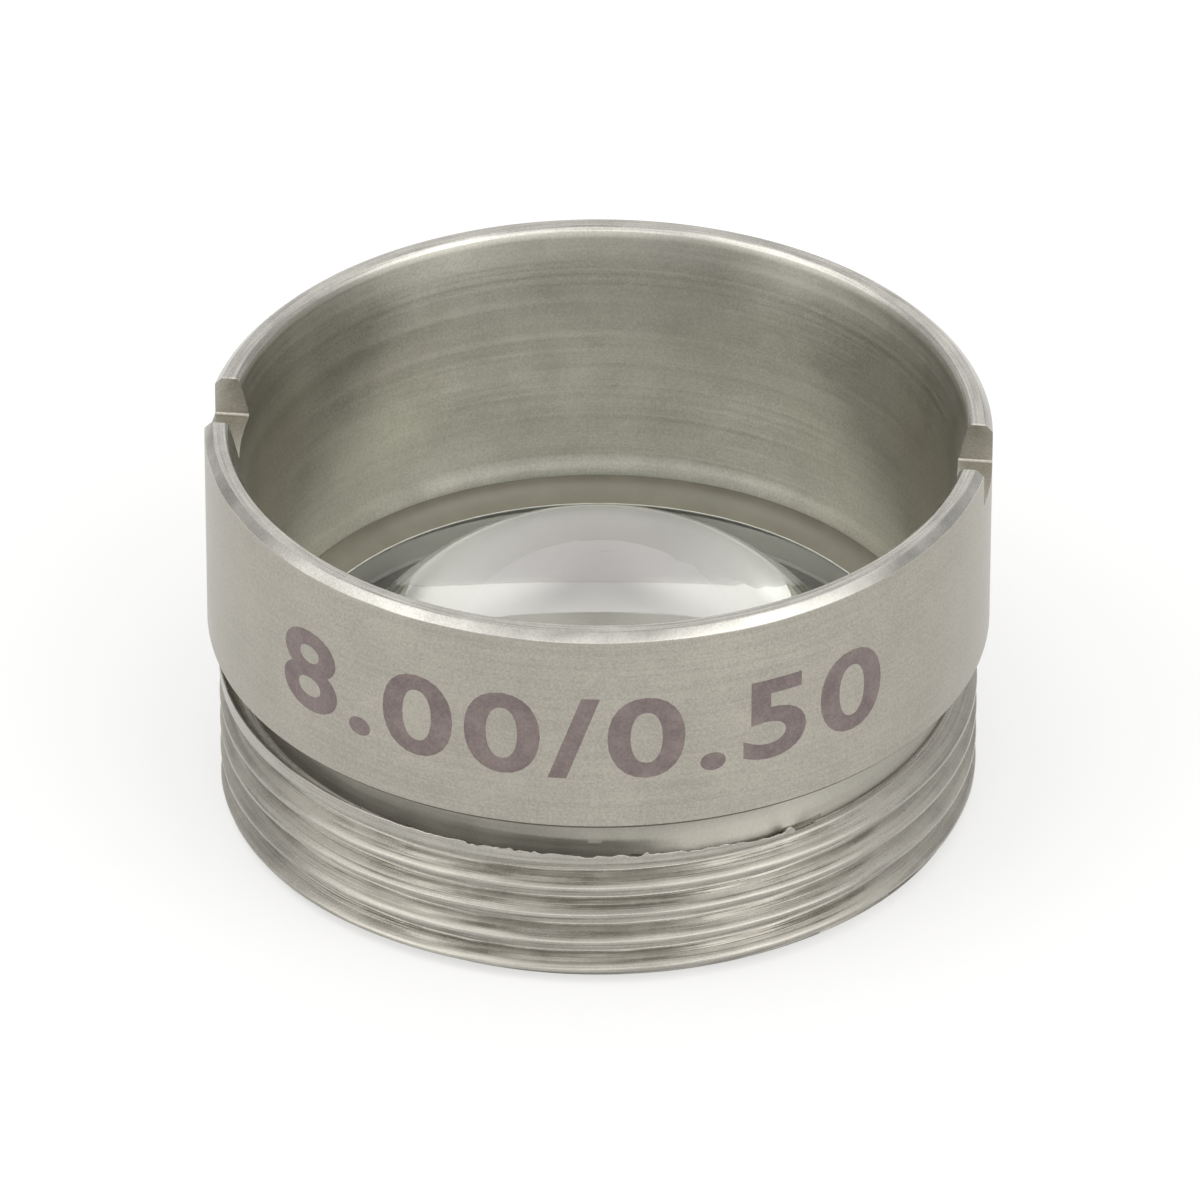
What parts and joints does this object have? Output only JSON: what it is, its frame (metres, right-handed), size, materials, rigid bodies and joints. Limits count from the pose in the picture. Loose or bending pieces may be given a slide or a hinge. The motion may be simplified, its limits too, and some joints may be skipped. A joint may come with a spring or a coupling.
{
  "type": "mounted aspheric lens",
  "caption": "Small aspheric glass lens glued into a turned stainless cell with a fine external thread, plain head and two spanner slots across the rim.",
  "frame": {"origin": "centre of the cell's threaded end face, on the optical axis", "axes": "+Z along the optical axis from the threaded end towards the slotted rim; the slots lie nearly along X"},
  "size_m": [0.0122, 0.0122, 0.0065],
  "materials": {
    "cell_steel": "satin turned stainless steel",
    "lens_glass": "polished, antireflection coated",
    "cured_adhesive": "smooth cured epoxy"
  },
  "bodies": {
    "root": {"lens_cell": "cell_steel", "aspheric_lens": "lens_glass", "adhesive_bead": "cured_adhesive"}
  },
  "joints": []
}
